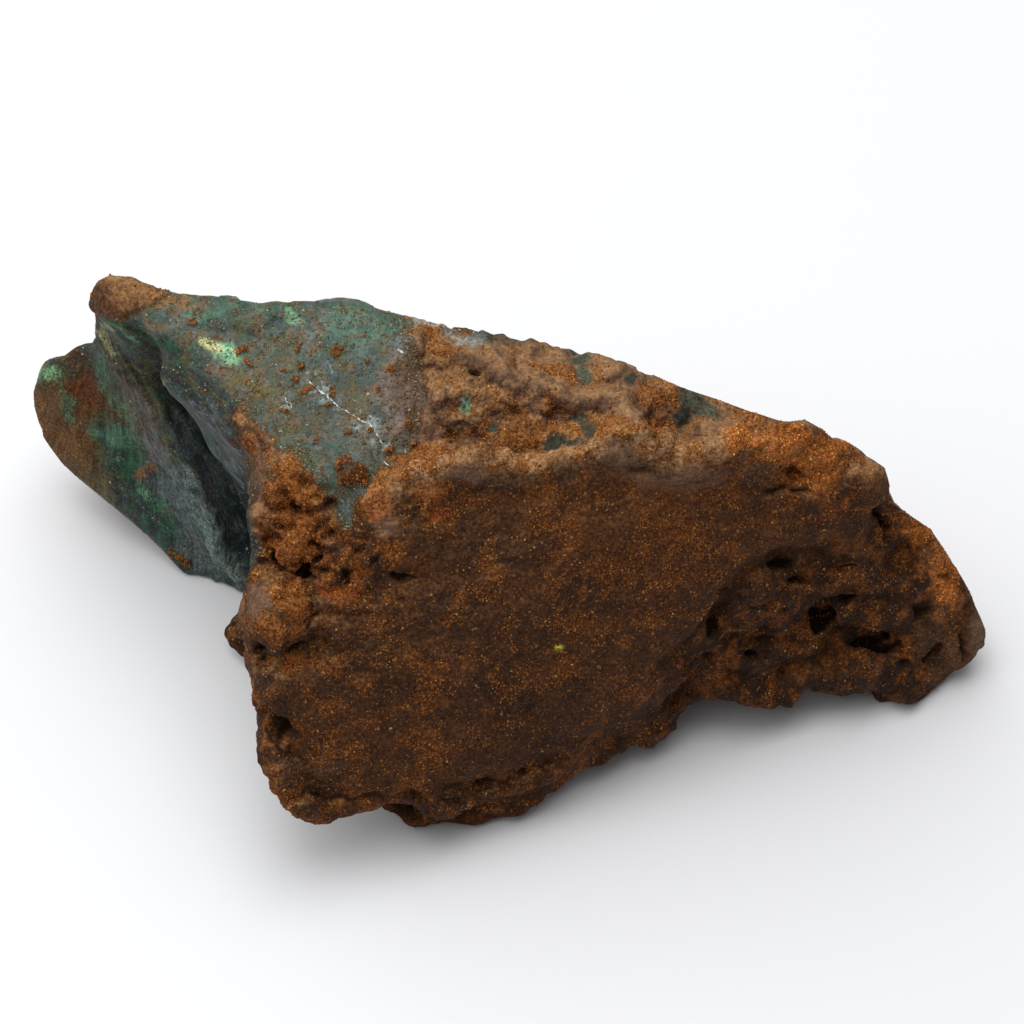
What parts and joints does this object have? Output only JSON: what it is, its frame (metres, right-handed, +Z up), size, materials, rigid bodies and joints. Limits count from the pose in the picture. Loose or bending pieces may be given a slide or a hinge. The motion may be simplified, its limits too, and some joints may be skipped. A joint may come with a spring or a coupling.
{
  "type": "raw emerald",
  "caption": "Rough wedge of green stone under a rusty sandy crust, with a broad front face, a fluted green end and a pitted tail; rests on its own feet.",
  "frame": {"origin": "middle of the bounding box's underside, on the surface the stone rests on", "axes": "+X along the stone's length, from the fluted green end to the pitted tail; +Y from the broad front face to the back; +Z up"},
  "size_m": [0.0636, 0.036, 0.0283],
  "materials": {
    "rusty_crust": "dull rusty brown sandy crust over dark green waxy stone that shows on the top, the left end and in small windows"
  },
  "bodies": {
    "root": {"stone": "rusty_crust"}
  },
  "joints": []
}
